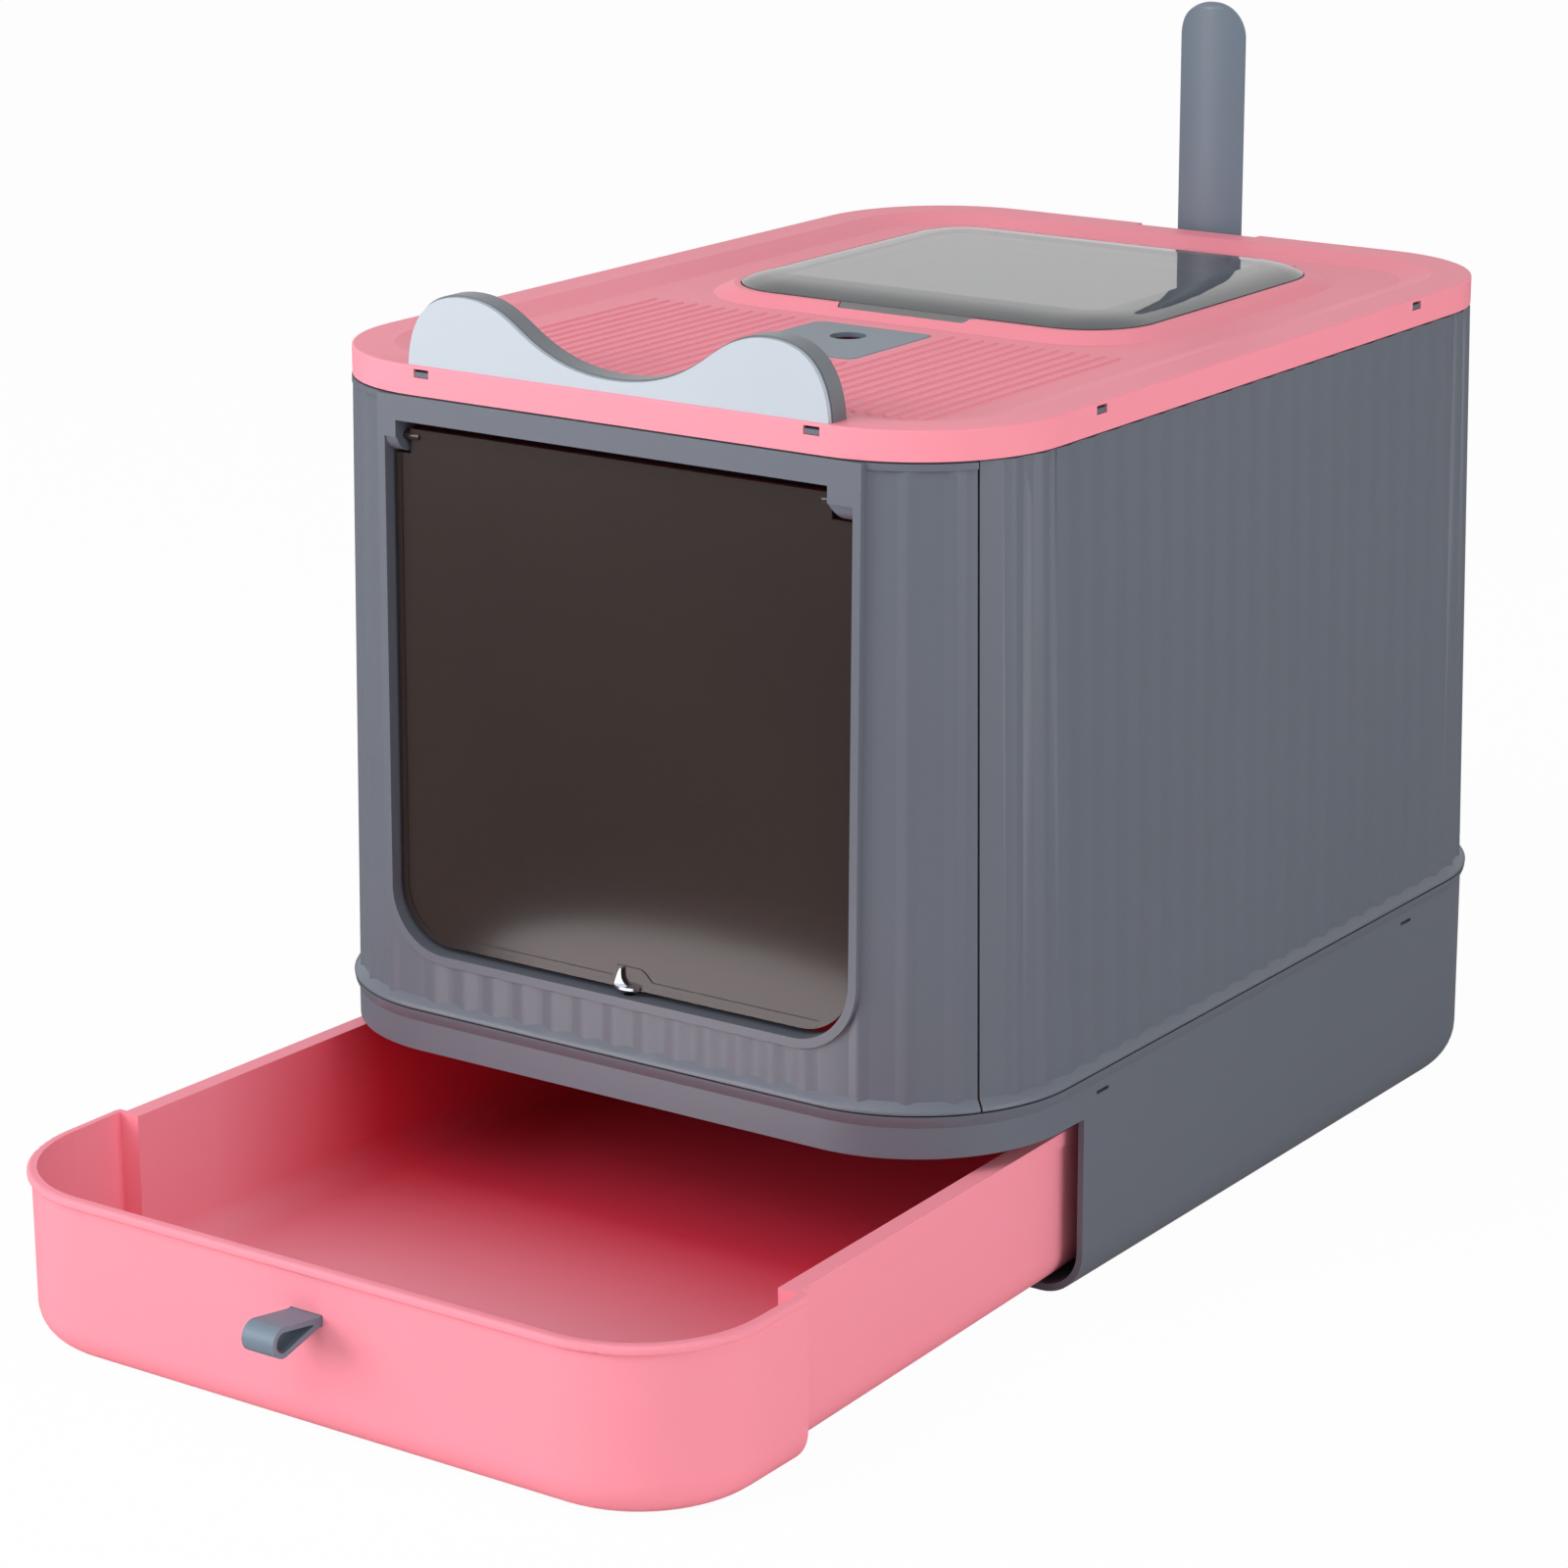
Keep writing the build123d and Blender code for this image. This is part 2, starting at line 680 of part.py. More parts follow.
def tab_plan(grow, z):
    """Outline of the hatch's finger tab, slanted at its ends."""
    half = tab_width / 2 + grow
    front = hatch_front - tab_reach - grow
    shape = make_face(Polyline(
        (-half, hatch_front + 2), (half, hatch_front + 2), (half, hatch_front),
        (half - tab_slant, front), (-half + tab_slant, front), (-half, hatch_front), close=True,
    ))
    return Pos(0, 0, z) * fillet(shape.vertices().group_by(Axis.Y)[0], 2.0 + grow)


def hinge_relief():
    """Room for the hatch's back edge as it turns down."""
    radius = (hinge_back ** 2 + (hatch_edge / 2) ** 2) ** 0.5 + relief_gap
    half = hatch_width / 2 - relief_end
    slot = rod(radius, -half, half, hinge_y, hinge_z)
    return slot + box((-half, hinge_y, hinge_z), (half, hinge_y + radius, lid_top + 9))


def hinge_cheeks():
    near = hinge_x - lug_width / 2 - lug_gap
    far = hinge_x + lug_width / 2 + lug_gap
    cheeks = Part()
    for low in (near - cheek_wall, far):
        cheek = box((low, hinge_y - cheek_front, field_under), (low + cheek_wall, hinge_y + cheek_back, hinge_z + cheek_rise))
        top = cheek.edges().filter_by(Axis.X).group_by(Axis.Z)[-1].group_by(Axis.Y)[0]
        cheeks += fillet(top, cheek_rise)
    return both_sides(cheeks)


def scoop_notch():
    """Shallow dip in the lid's back edge behind which the scoop's handle stands."""
    half = handle_width / 2 + 17
    edge = base_depth / 2 - skirt_inset
    return box((-half, edge - 6, lid_top - notch_drop), (half, edge + 1, lid_top + 1))


# ---------------------------------------------------------------- hatch
def dome(low, grow):
    return loft([Pos(0, hatch_y, low + rise) * hatch_plan(grow - inset) for inset, rise in dome_steps])


def finger_tab():
    """Sloped tab on the front edge."""
    edge_top = hatch_low + hatch_edge
    front = hatch_front - tab_reach
    side = make_face(Polyline(
        (hatch_front + 1.5, hatch_low), (hatch_front + 1.5, edge_top), (hatch_front, edge_top - 0.2),
        (front, edge_top - tab_drop), (front, edge_top - tab_drop - tab_thick), close=True,
    ))
    plane = Plane(origin=(-tab_width, 0, 0), x_dir=(0, 1, 0), z_dir=(1, 0, 0))
    return (plane.location * extrude(side, 2 * tab_width)) & extrude(tab_plan(0, hatch_low - 5), 20)


def make_hatch():
    edge_top = hatch_low + hatch_edge
    hatch = hatch_block(0, hatch_low, edge_top) + dome(edge_top, 0)
    hatch -= hatch_block(-hatch_ledge + 2, hatch_low - 1, hatch_low + 0.01)
    hatch -= dome(hatch_low, -hatch_ledge + 2)
    hatch += finger_tab()
    half = lug_width / 2 + lug_gap + cheek_wall + 0.4
    notch = box((hinge_x - half, hinge_y - lug_notch, hatch_low - 1), (hinge_x + half, hatch_back + 1, edge_top + 6))
    hatch -= both_sides(notch)
    lug = rod(hatch_pin + lug_skin, -lug_width / 2, lug_width / 2, hinge_y, hinge_z)
    lug += box((-lug_width / 2, hinge_y - lug_reach, hatch_low), (lug_width / 2, hinge_y, edge_top))
    pin_half = lug_width / 2 + lug_gap + cheek_wall / 2 - 0.3
    lug += rod(hatch_pin, -pin_half, pin_half, hinge_y, hinge_z)
    return hatch + Pos(hinge_x, 0, 0) * lug + Pos(-hinge_x, 0, 0) * lug


# ---------------------------------------------------------------- compartment cover
def make_cover():
    plate = RectangleRounded(cover_width, cover_depth, cover_corner)
    cover = Pos(0, cover_y, field_under + fit_gap) * extrude(plate, cover_thick)
    cover = chamfer(cover.edges().group_by(Axis.Z)[-1], 0.4)
    return cover - Pos(0, cover_hole_y, field_under) * Cylinder(cover_hole, 20)


# ---------------------------------------------------------------- ear crest
def ear_outline(border):
    """Crest seen from the front: two humps and the dip between them."""
    side = ear_half - border
    peak = ear_peak - border
    dip = ear_dip - border
    right = Spline(
        (side, 0), (side - 4, peak * 0.52), (ear_peak_x, peak),
        tangents=[(-0.05, 1), (-1, 0)],
    )
    fall = Spline(
        (ear_peak_x, peak), (ear_peak_x * 0.56, (peak + dip) * 0.47), (0, dip),
        tangents=[(-1, 0), (-1, 0)],
    )
    half = [right, fall]
    other = [mirror(edge, Plane.YZ) for edge in half]
    foot = Line((-side, 0), (side, 0))
    return make_face([*half, *other, foot])


def ear_slab(border, near, thick):
    """Crest of one thickness, its front face at a depth behind the lid's front."""
    y = front_y + skirt_inset + near
    plane = Plane(origin=(0, y + thick, lid_top), x_dir=(1, 0, 0), z_dir=(0, -1, 0))
    return plane.location * extrude(ear_outline(border), thick)


def ear_tabs(grow):
    y = front_y + skirt_inset + ear_front + ear_face_thick + ear_body_thick / 2
    half = (ear_tab / 2 + grow, ear_tab_wall / 2 + grow)
    tabs = Part()
    for x in (-ear_tab_x, 0, ear_tab_x):
        low = (x - half[0], y - half[1], lid_top - ear_tab_depth)
        tabs += box(low, (x + half[0], y + half[1], lid_top + 1))
    return tabs


def make_ears():
    body = ear_slab(0, ear_front + ear_face_thick, ear_body_thick) + ear_tabs(0)
    return body, ear_slab(ear_border, ear_front, ear_face_thick)


# ---------------------------------------------------------------- drawer
def tray_half(y):
    """Half width of the tray part: it narrows towards the back."""
    back = base_depth / 2 - base_wall - tray_back_gap
    share = (y - shoulder_y) / (back - shoulder_y)
    return tray_half_front + share * (tray_half_back - tray_half_front)


def tray_block(inset, back_inset, start, low, high, round_corner):
    """Tapered block for the tray part, from a start line back to the back wall."""
    back = base_depth / 2 - base_wall - tray_back_gap - back_inset
    near = tray_half(start) - inset
    far = tray_half(back) - inset
    shape = make_face(Polyline((-near, start), (near, start), (far, back), (-far, back), close=True))
    shape = fillet(shape.vertices().group_by(Axis.Y)[-1], round_corner)
    return Pos(0, 0, low) * extrude(shape, high - low)


def front_block(inset, low, high, back):
    """Block for the wide drawer front, from its face to a back line."""
    face_y = front_y + inset
    shape = Rectangle(base_width - 2 * inset, back - face_y, align=(Align.CENTER, Align.MIN))
    shape = fillet(shape.vertices().group_by(Axis.Y)[0], front_corner - inset)
    return Pos(0, face_y, low) * extrude(shape, high - low)


def foot_edges(solid, low, keep):
    """Bottom edges but those on the line y = keep."""
    return [e for e in solid.edges().group_by(Axis.Z)[0] if abs(e.center().Y - keep) > 0.5]


def make_drawer():
    front = front_block(0, front_lift, drawer_top, shoulder_y)
    front = fillet(foot_edges(front, front_lift, shoulder_y), front_edge)
    start = shoulder_y - 2 * front_shoulder
    tray = tray_block(0, 0, start, drawer_low, drawer_top, tray_corner)
    tray = fillet(foot_edges(tray, drawer_low, start), tray_edge)
    lip = tray_block(-lip_out, 0, shoulder_y - 1, drawer_top - lip_height, drawer_top, tray_corner)
    bead = front_block(-rim_out, drawer_top - rim_bead, drawer_top, shoulder_y - 1.5)
    rim = [e for e in bead.edges().filter_by(Axis.Z, reverse=True) if abs(e.center().Y - shoulder_y + 1.5) > 0.5]
    bead = fillet(rim, rim_round)
    body = front + tray + lip + bead
    room = front_block(drawer_wall, tray_floor, drawer_top + 1, shoulder_y - drawer_wall)
    room = fillet(foot_edges(room, tray_floor, shoulder_y - drawer_wall), inner_edge)
    start = shoulder_y - 20
    well = tray_block(tray_side, drawer_wall, start, tray_floor, drawer_top + 1, tray_corner - drawer_wall)
    well = fillet(foot_edges(well, tray_floor, start), inner_edge)
    body = body - room - well
    height = 2 * pull_strap + 2 * pull_slot_gap
    half = pull_width / 2 + pull_slot_gap
    body -= box((-half, front_y - 5, pull_height - height / 2), (half, front_y + 9, pull_height + height / 2))
    return Pos(0, -drawer_out, 0) * body


def make_pull():
    """Folded soft strap: a loop outside, a tail through the slot and a head inside."""
    end = Pos(-pull_reach, -pull_sag)
    outer = make_hull((Pos(-pull_neck / 2, 0) * Circle(pull_strap)).edges() + (end * Circle(pull_round)).edges())
    small = pull_round - pull_strap
    inner = make_hull((Pos(-pull_neck - 1, 0) * Circle(0.4)).edges() + (end * Circle(small)).edges())
    tail = drawer_wall + 2 * fit_gap
    loop = outer - inner
    stem = Pos(-pull_neck / 2, -pull_strap) * Rectangle(tail + pull_neck / 2, 2 * pull_strap, align=(Align.MIN, Align.MIN))
    section = loop + stem
    head = Pos(tail - 0.01, -pull_head / 2) * Rectangle(pull_head_thick, pull_head, align=(Align.MIN, Align.MIN))
    origin = (-pull_width / 2, front_y - drawer_out, pull_height)
    plane = Plane(origin=origin, x_dir=(0, 1, 0), z_dir=(1, 0, 0))
    strap = plane.location * extrude(section, pull_width)
    strap += plane.location * Pos(0, 0, -2) * extrude(head, pull_width + 4)
    return strap


# ---------------------------------------------------------------- scoop and holder
def make_scoop():
    front = scoop_back + pan_depth
    high = scoop_low + pan_height
    pan = box((-pan_width / 2, scoop_back, scoop_low), (pan_width / 2, front, high))
    pan = fillet(pan.edges().filter_by(Axis.Y), pan_corner)
    room = box((-pan_width / 2 + pan_wall, scoop_back - 1, scoop_low - 20),
               (pan_width / 2 - pan_wall, front - pan_wall, high - pan_wall))
    room = fillet(room.edges().filter_by(Axis.Y), pan_corner - pan_wall)
    pan -= room
    for k in range(slot_count):
        x = (k - (slot_count - 1) / 2) * slot_pitch
        slot = Pos(x, front, scoop_low + pan_height / 2 - 4) * Rot(90, 0, 0)
        pan -= slot * extrude(SlotOverall(slot_length, slot_width, rotation=90), 8, both=True)
    low = high - pan_corner
    grip = box((-handle_width / 2, scoop_back - 0.5, low), (handle_width / 2, scoop_back - 0.5 + handle_thick, handle_top))
    grip = fillet(grip.edges().filter_by(Axis.Y).group_by(Axis.Z)[-1], handle_width / 2 - 1)
    grip = fillet(grip.faces().sort_by(Axis.Y)[0].edges(), handle_round)
    grip = fillet(grip.faces().sort_by(Axis.Y)[-1].edges(), handle_round)
    crown = Pos(0, scoop_back - 0.5 + handle_crown, low) * Cylinder(
        handle_crown, handle_top - low, align=(Align.CENTER, Align.CENTER, Align.MIN))
    return pan + (grip & crown)


def holder_pegs(grow):
    pegs = Part()
    high = scoop_low + holder_height / 2
    for x in (-holder_peg_x, holder_peg_x):
        peg = Rot(90, 0, 0) * Cylinder(holder_peg + grow, 9 + grow)
        pegs += Pos(x, scoop_back - 5, high) * peg
    return pegs


def make_holder():
    half = pan_width / 2 + holder_gap
    near = scoop_back - holder_gap
    far = scoop_back + pan_depth + holder_gap
    low = scoop_low - fit_gap
    wall = holder_wall
    outer = box((-half - wall, near - wall + 0.4, low - wall), (half + wall, far + wall, low + holder_height))
    outer = fillet(outer.edges().filter_by(Axis.Y).group_by(Axis.Z)[0], pan_corner + holder_gap + wall)
    room = box((-half, near, low), (half, far, low + holder_height + 1))
    room = fillet(room.edges().filter_by(Axis.Y).group_by(Axis.Z)[0], pan_corner + holder_gap)
    window = box((-half + 16, far - 1, low + 14), (half - 16, far + wall + 1, low + holder_height + 1))
    return outer - room - window + holder_pegs(0)


# ---------------------------------------------------------------- write the parts
def main():
    os.makedirs("parts", exist_ok=True)
    front, right, left, back = make_panels()
    crest, crest_face = make_ears()
    nodes = {
        "base": make_base(),
        "front_panel": front,
        "right_panel": right,
        "left_panel": left,
        "back_panel": back,
        "sill_magnet": sill_plug(sill_round - sill_fit, -sill_deep + fit_gap, -fit_gap),
        "door": make_door(),
        "door_catch": make_catch(),
        "lid": make_lid(),
        "hatch": make_hatch(),
        "compartment_cover": make_cover(),
        "ear_crest": crest,
        "ear_face": crest_face,
        "drawer": make_drawer(),
        "drawer_pull": make_pull(),
        "scoop": make_scoop(),
        "scoop_holder": make_holder(),
    }
    for name, shape in nodes.items():
        solids = shape.solids()
        part = solids[0] if len(solids) == 1 else Compound(children=list(solids))
        export_step(part, f"parts/{name}.step")
        size = part.bounding_box().size
        print(name, len(solids), round(part.volume / 1000, 1), [round(v, 1) for v in size])


main()
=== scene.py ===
import math

import bpy
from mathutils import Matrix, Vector

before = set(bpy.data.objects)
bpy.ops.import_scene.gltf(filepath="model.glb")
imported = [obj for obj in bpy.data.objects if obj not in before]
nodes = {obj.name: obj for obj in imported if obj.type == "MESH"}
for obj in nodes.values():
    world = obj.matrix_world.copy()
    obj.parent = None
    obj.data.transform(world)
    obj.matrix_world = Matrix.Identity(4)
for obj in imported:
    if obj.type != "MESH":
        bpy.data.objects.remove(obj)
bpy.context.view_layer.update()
bpy.ops.object.select_all(action="DESELECT")
print("frame loaded:", len(nodes), "nodes")


# shader graphs are written as Python expressions: sums and products of wires add Math nodes

class Wire:
    def __init__(self, graph, socket):
        self.graph = graph
        self.socket = socket

    def math(self, kind, *terms):
        return self.graph.add("ShaderNodeMath", {"operation": kind}, terms)

    def __add__(self, other):
        return self.math("ADD", self, other)

    def __radd__(self, other):
        return self.math("ADD", other, self)

    def __sub__(self, other):
        return self.math("SUBTRACT", self, other)

    def __rsub__(self, other):
        return self.math("SUBTRACT", other, self)

    def __mul__(self, other):
        return self.math("MULTIPLY", self, other)

    def __rmul__(self, other):
        return self.math("MULTIPLY", other, self)


# where a Mix node keeps its factor and its colours
mixSockets = {"factor": 0, "first": 6, "second": 7, "result": 2}
noiseMiddle = 0.5  # the value that a noise swings about


class Graph:
    def __init__(self, owner):  # a material or the world
        owner.use_nodes = True
        self.owner = owner
        self.tree = owner.node_tree
        self.tree.nodes.clear()

    # every node: its type, its settings, and the values or wires of its sockets by name or in order
    def add(self, kind, settings=None, sockets=(), out=0):
        node = self.tree.nodes.new(kind)
        for key, value in (settings or {}).items():
            setattr(node, key, value)
        pairs = sockets.items() if isinstance(sockets, dict) else enumerate(sockets)
        for key, value in pairs:
            if isinstance(value, Wire):
                self.tree.links.new(value.socket, node.inputs[key])
            else:
                node.inputs[key].default_value = value
        return Wire(self, node.outputs[out]) if node.outputs else None

    def place(self):
        return self.add("ShaderNodeTexCoord", out="Object")

    def along(self, axis):
        return self.add("ShaderNodeSeparateXYZ", {}, [self.place()], out=axis)

    def noise(self, scale, detail, roughness=0.5):
        return self.add("ShaderNodeTexNoise", {"noise_dimensions": "3D"}, {
            "Vector": self.place(), "Scale": scale, "Detail": detail, "Roughness": roughness,
        })

    def clamp(self, value):
        return self.add("ShaderNodeMath", {"operation": "ADD", "use_clamp": True}, [value, 0.0])

    def mixColour(self, factor, first, second):
        return self.add("ShaderNodeMix", {"data_type": "RGBA", "blend_type": "MIX"}, {
            mixSockets["factor"]: factor,
            mixSockets["first"]: first,
            mixSockets["second"]: second,
        }, out=mixSockets["result"])

    def finish(self, shader, end="ShaderNodeOutputMaterial"):
        self.add(end, {}, {"Surface": shader})
        return self.owner


def srgb(red, green, blue):  # 0 to 255 as a screen shows it, turned into linear light
    tone = []
    for value in (red, green, blue):
        share = value / 255
        tone.append(share / 12.92 if share <= 0.04045 else ((share + 0.055) / 1.055) ** 2.4)
    return (*tone, 1)


def unevenRoughness(noise, values):
    return values["rough"] + (noise - noiseMiddle) * values["roughSpread"]


# what the moulded plastics share: slow clouds in the colour and a very fine grain on the surface
mouldedValues = {
    "cloudDetail": 3.0, "grainDetail": 2.0, "grainRoughness": 0.6,
    "grainScale": 1400.0, "grainDepth": 0.0002,
}


def moulded(name, ownValues):
    values = {**mouldedValues, **ownValues}
    graph = Graph(bpy.data.materials.new(name))
    cloud = graph.noise(values["cloudScale"], values["cloudDetail"])
    grain = graph.noise(values["grainScale"], values["grainDetail"], values["grainRoughness"])
    tone = graph.mixColour(cloud, values["shade"], values["light"])
    # painted shade: where a material asks for it, its colour darkens along Y towards a deeper
    # colour, standing in for the shade that falls there
    if "deep" in values:  # the colour deepens from one place along Y to another
        start, end = values["deepFrom"], values["deepTo"]
        share = (graph.along("Y") - start) * (1 / (end - start))
        tone = graph.mixColour(graph.clamp(share), tone, values["deep"])
    relief = graph.add("ShaderNodeBump", {}, {
        "Strength": values["grainStrength"], "Distance": values["grainDepth"], "Height": grain,
    })
    return graph.finish(graph.add("ShaderNodeBsdfPrincipled", {}, {
        "Base Color": tone,
        "Roughness": unevenRoughness(grain, values),
        "Normal": relief,
        "Specular IOR Level": values["gloss"],
    }))


wallGrey = moulded("wallGrey", {
    "shade": srgb(95, 100, 111), "light": srgb(101, 106, 117), "cloudScale": 6.0,
    "grainStrength": 0.12, "rough": 0.42, "roughSpread": 0.08, "gloss": 0.4,
})
pinkShell = moulded("pinkShell", {
    "shade": srgb(244, 145, 161), "light": srgb(248, 150, 166), "cloudScale": 5.0,
    "grainStrength": 0.08, "rough": 0.45, "roughSpread": 0.06, "gloss": 0.12,
})
# pink for the drawer's inside with painted shade: from Y -0.34 to -0.22 it darkens to a deep red,
# where the inside lies in shade within the base
pinkInsidePaintedShade = moulded("pinkInsidePaintedShade", {
    "shade": srgb(247, 148, 164), "light": srgb(251, 153, 169), "cloudScale": 5.0,
    "deep": srgb(240, 62, 84), "deepFrom": -0.34, "deepTo": -0.22,
    "grainStrength": 0.08, "rough": 0.45, "roughSpread": 0.06, "gloss": 0.12,
})
earSilver = moulded("earSilver", {
    "shade": srgb(180, 190, 200), "light": srgb(187, 196, 206), "cloudScale": 8.0,
    "grainStrength": 0.08, "rough": 0.36, "roughSpread": 0.06, "gloss": 0.5,
})
earGrey = moulded("earGrey", {
    "shade": srgb(98, 104, 110), "light": srgb(104, 110, 116), "cloudScale": 8.0,
    "grainStrength": 0.1, "rough": 0.36, "roughSpread": 0.06, "gloss": 0.5,
})
scoopGrey = moulded("scoopGrey", {
    "shade": srgb(102, 116, 130), "light": srgb(107, 121, 135), "cloudScale": 12.0,
    "grainScale": 1500.0, "grainStrength": 0.1, "rough": 0.4, "roughSpread": 0.08, "gloss": 0.45,
})
strapGrey = moulded("strapGrey", {
    "shade": srgb(108, 124, 139), "light": srgb(114, 130, 145), "cloudScale": 20.0,
    "grainScale": 1600.0, "grainStrength": 0.15, "rough": 0.5, "roughSpread": 0.08, "gloss": 0.4,
})


def smoky(name, values):
    graph = Graph(bpy.data.materials.new(name))
    cloud = graph.noise(values["cloudScale"], values["cloudDetail"])
    return graph.finish(graph.add("ShaderNodeBsdfPrincipled", {}, {
        "Base Color": graph.mixColour(cloud, values["shade"], values["light"]),
        "Roughness": unevenRoughness(cloud, values),
        "Alpha": values["alpha"],
        "Specular IOR Level": values["gloss"],
        "Coat Weight": values["coat"],
        "Coat Roughness": values["coatRough"],
    }))


smokeFlap = smoky("smokeFlap", {
    "shade": srgb(50, 42, 40), "light": srgb(58, 49, 46), "cloudScale": 5.0, "cloudDetail": 3.0,
    "rough": 0.16, "roughSpread": 0.02, "gloss": 0.4,
    "coat": 0.0, "coatRough": 0.03, "alpha": 0.86,
})
smokeHatch = smoky("smokeHatch", {
    "shade": srgb(62, 66, 70), "light": srgb(68, 72, 76), "cloudScale": 5.0, "cloudDetail": 3.0,
    "rough": 0.05, "roughSpread": 0.02, "gloss": 0.9,
    "coat": 0.55, "coatRough": 0.03, "alpha": 0.72,
})


def metal(name, values):
    graph = Graph(bpy.data.materials.new(name))
    cloud = graph.noise(values["cloudScale"], values["cloudDetail"])
    return graph.finish(graph.add("ShaderNodeBsdfPrincipled", {}, {
        "Base Color": graph.mixColour(cloud, values["shade"], values["light"]),
        "Roughness": unevenRoughness(cloud, values),
        "Metallic": 1.0,
    }))


catchMetal = metal("catchMetal", {
    "shade": srgb(138, 143, 150), "light": srgb(154, 159, 166),
    "cloudScale": 60.0, "cloudDetail": 2.0, "rough": 0.24, "roughSpread": 0.06,
})
print("materials ready")

finishes = {
    wallGrey: ["base", "front_panel", "right_panel", "left_panel", "back_panel"],
    pinkShell: ["lid", "drawer"],
    earSilver: ["ear_face"],
    earGrey: ["ear_crest"],
    scoopGrey: ["scoop", "scoop_holder", "compartment_cover"],
    strapGrey: ["drawer_pull"],
    smokeFlap: ["door"],
    smokeHatch: ["hatch"],
    catchMetal: ["door_catch", "sill_magnet"],
}
for material, names in finishes.items():
    for name in names:
        nodes[name].data.materials.clear()
        nodes[name].data.materials.append(material)

# painted shade: the drawer's inside below its rim (its floor and the walls that face its middle)
# takes the pink that darkens to a deep red towards the back, where shade falls
paintedShadeArea = {
    "middle": Vector((0, -0.24)), "rim": 0.0775, "floor": 0.030,
    "wallTilt": 0.7, "floorTilt": 0.5,  # a wall's normal stays below the first, a floor's above it
}
drawerMesh = nodes["drawer"].data
drawerMesh.materials.append(pinkInsidePaintedShade)
paintedShadeSlot = len(drawerMesh.materials) - 1
for face in drawerMesh.polygons:
    normal, centre = face.normal, face.center
    facesMiddle = normal.xy.dot(paintedShadeArea["middle"] - centre.xy) > 0
    isUpright = abs(normal.z) < paintedShadeArea["wallTilt"]
    isWall = isUpright and facesMiddle and centre.z < paintedShadeArea["rim"]
    isFloor = normal.z > paintedShadeArea["floorTilt"] and centre.z < paintedShadeArea["floor"]
    if isWall or isFloor:
        face.material_index = paintedShadeSlot
paintedShadeCount = sum(face.material_index == paintedShadeSlot for face in drawerMesh.polygons)
print("drawer inside faces:", paintedShadeCount)

# camera
view = {
    "target": (0.0079, -0.0726, 0.1940), "azimuth": 34.17, "elevation": 16.56, "distance": 2.2414,
    "lens": 105.71, "sensor": 36, "shiftX": -0.05, "shiftY": 0.0,
}
turn = math.radians(view["azimuth"])
rise = math.radians(view["elevation"])
away = Vector((
    math.sin(turn) * math.cos(rise),
    -math.cos(turn) * math.cos(rise),
    math.sin(rise),
))
cameraData = bpy.data.cameras.new("camera")
cameraData.lens = view["lens"]
cameraData.sensor_width = view["sensor"]
cameraData.shift_x = view["shiftX"]
cameraData.shift_y = view["shiftY"]
camera = bpy.data.objects.new("camera", cameraData)
camera.location = Vector(view["target"]) + away * view["distance"]
camera.rotation_euler = away.to_track_quat("Z", "Y").to_euler()
bpy.context.scene.collection.objects.link(camera)
bpy.context.scene.camera = camera

# the floor looks almost white to the camera, keeps the shadow, and is dim where gloss mirrors it
floorValues = {
    "size": 30.0, "tone": srgb(244, 243, 241), "whiteShare": 0.97,
    "white": (1, 1, 1, 1), "mirrored": srgb(120, 118, 116),
}
bpy.ops.mesh.primitive_plane_add(size=floorValues["size"], location=(0, 0, 0))
floor = bpy.context.object
floor.name = "floor"
paint = Graph(bpy.data.materials.new("floorWhite"))
seen = paint.add("ShaderNodeLightPath", out="Is Camera Ray")
mirrored = paint.add("ShaderNodeLightPath", out="Is Glossy Ray")
matt = paint.add("ShaderNodeBsdfDiffuse", {}, {"Color": floorValues["tone"]})
white = paint.add("ShaderNodeEmission", {}, {"Color": floorValues["white"], "Strength": 1.0})
dim = paint.add("ShaderNodeEmission", {}, {"Color": floorValues["mirrored"], "Strength": 1.0})
direct = paint.add("ShaderNodeMixShader", {}, [seen * floorValues["whiteShare"], matt, white])
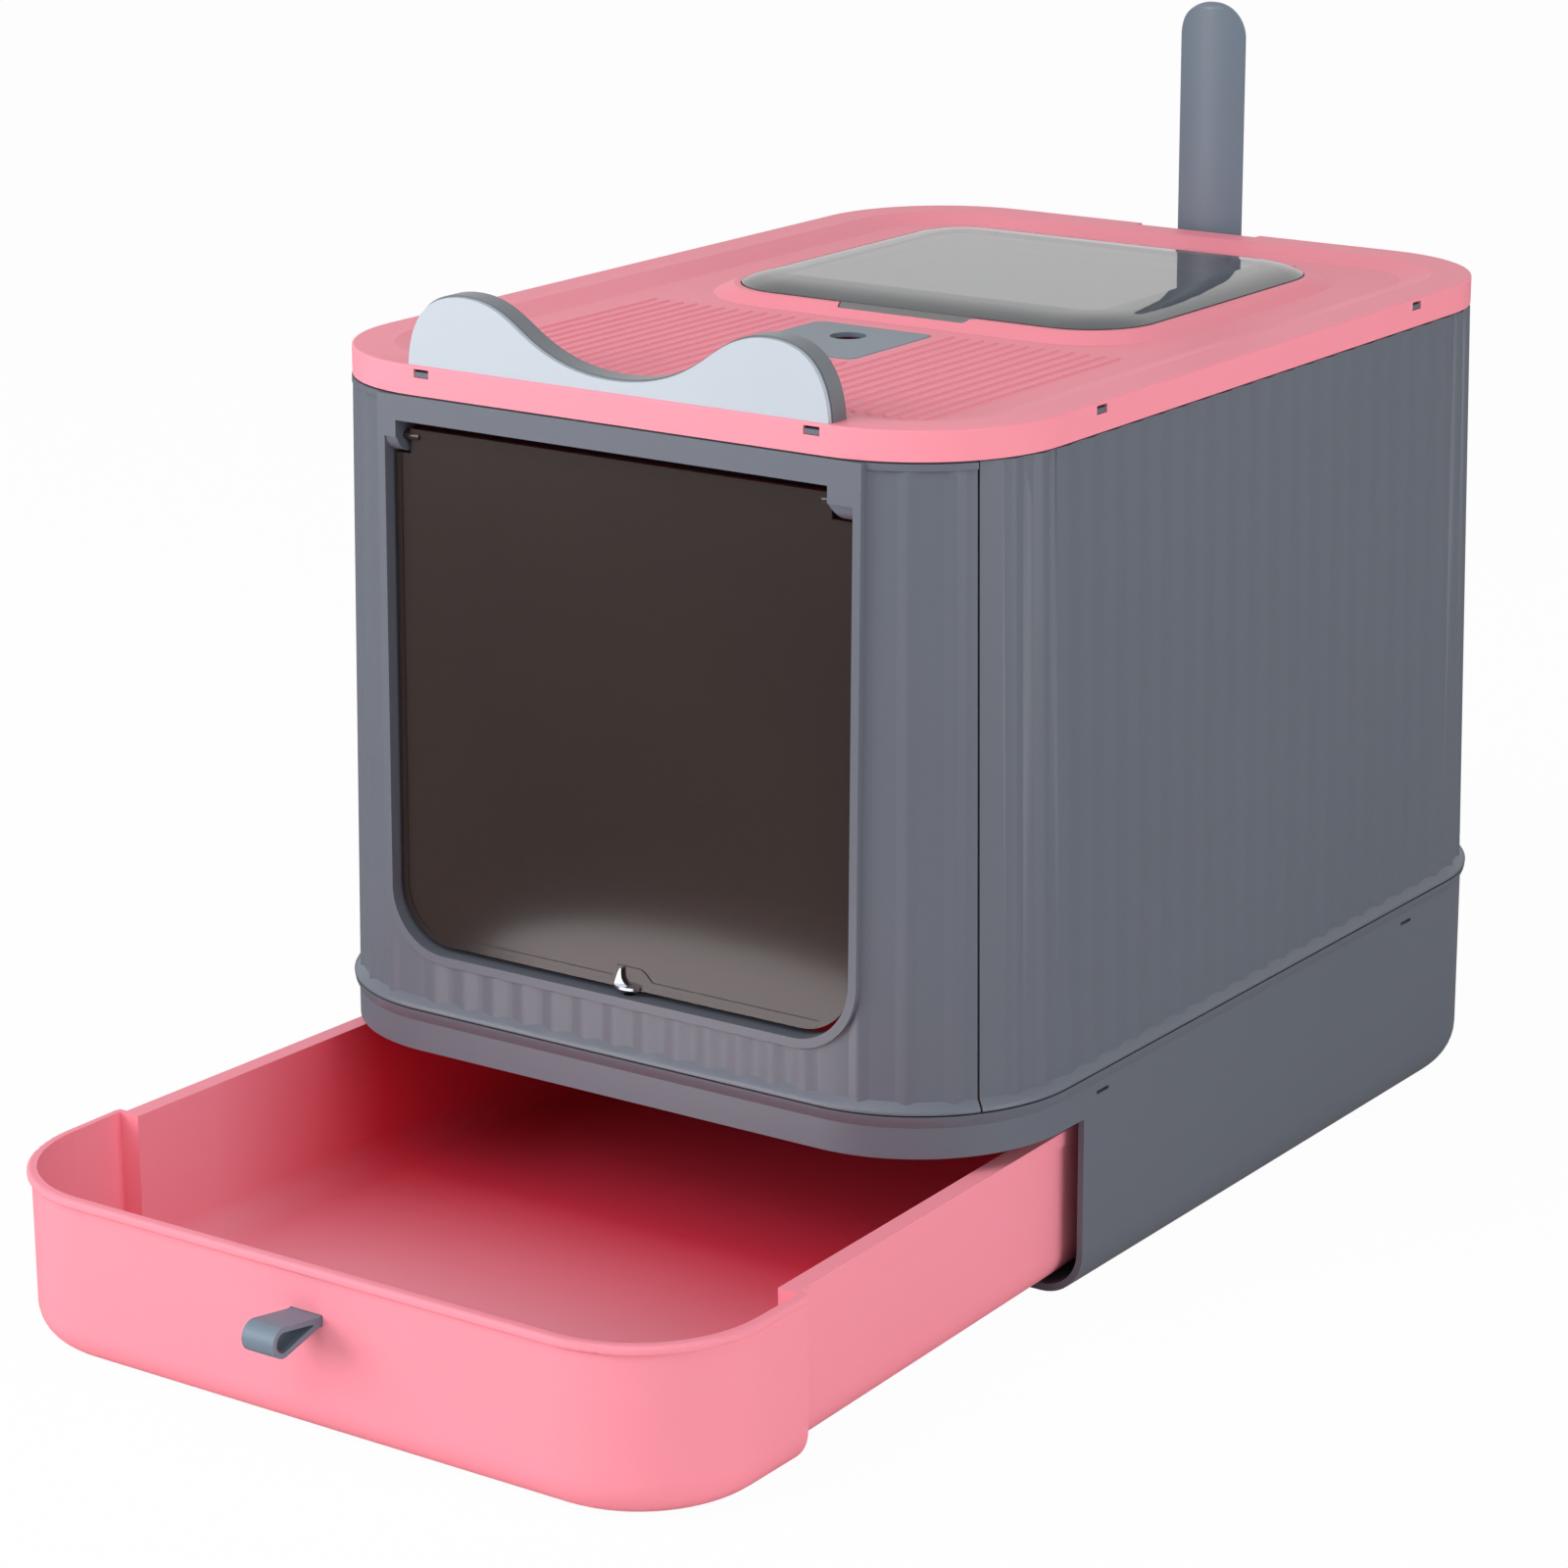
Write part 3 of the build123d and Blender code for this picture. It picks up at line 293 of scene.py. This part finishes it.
floorPaint = paint.finish(paint.add("ShaderNodeMixShader", {}, [mirrored, direct, dim]))
floor.data.materials.append(floorPaint)

# the room lights the object softly, and is plain white to the camera and in gloss
roomValues = {"tone": (1, 1, 1, 1), "level": 0.37, "backdrop": 1.0}
room = Graph(bpy.data.worlds.new("softRoom"))
sky = room.add("ShaderNodeBackground", {}, {
    "Color": roomValues["tone"], "Strength": roomValues["level"],
})
backdrop = room.add("ShaderNodeBackground", {}, {
    "Color": roomValues["tone"], "Strength": roomValues["backdrop"],
})
seen = room.add("ShaderNodeLightPath", out="Is Camera Ray")
mirrored = room.add("ShaderNodeLightPath", out="Is Glossy Ray")
shown = seen.math("MAXIMUM", seen, mirrored)
softRoom = room.add("ShaderNodeMixShader", {}, [shown, sky, backdrop])
bpy.context.scene.world = room.finish(softRoom, "ShaderNodeOutputWorld")


def hangLamp(name, shape, values, back):  # back points away from what the lamp lights
    data = bpy.data.lights.new(name, "AREA")
    data.shape = shape
    data.size = values["wide"]
    if "high" in values:
        data.size_y = values["high"]
    data.energy = values["power"]
    lamp = bpy.data.objects.new(name, data)
    lamp.location = values["place"]
    lamp.rotation_euler = back.to_track_quat("Z", "Y").to_euler()
    bpy.context.scene.collection.objects.link(lamp)
    return lamp


lampAim = Vector((0, 0, 0.2))
lamps = {
    "front": {"place": (-1.5, -2.2, 0.95), "wide": 1.8, "power": 42},
    "side": {"place": (2.7, -0.2, 0.8), "wide": 1.8, "power": 32},
    "top": {"place": (-0.2, -1.9, 2.2), "wide": 2.0, "power": 24},
}
for name, values in lamps.items():
    hangLamp(name, "DISK", values, Vector(values["place"]) - lampAim)

# a low card that only glossy surfaces mirror, for the light patch at the flap's foot
cardValues = {"place": (-0.06, -0.42, 0.076), "wide": 0.30, "high": 0.075, "power": 0.24}
card = hangLamp("lowCard", "ELLIPSE", cardValues, Vector((0, -1, 0)))
card.visible_camera = False
card.visible_diffuse = False
card.visible_transmission = False
bpy.context.scene.view_settings.view_transform = "Standard"
print("camera, floor and light ready")
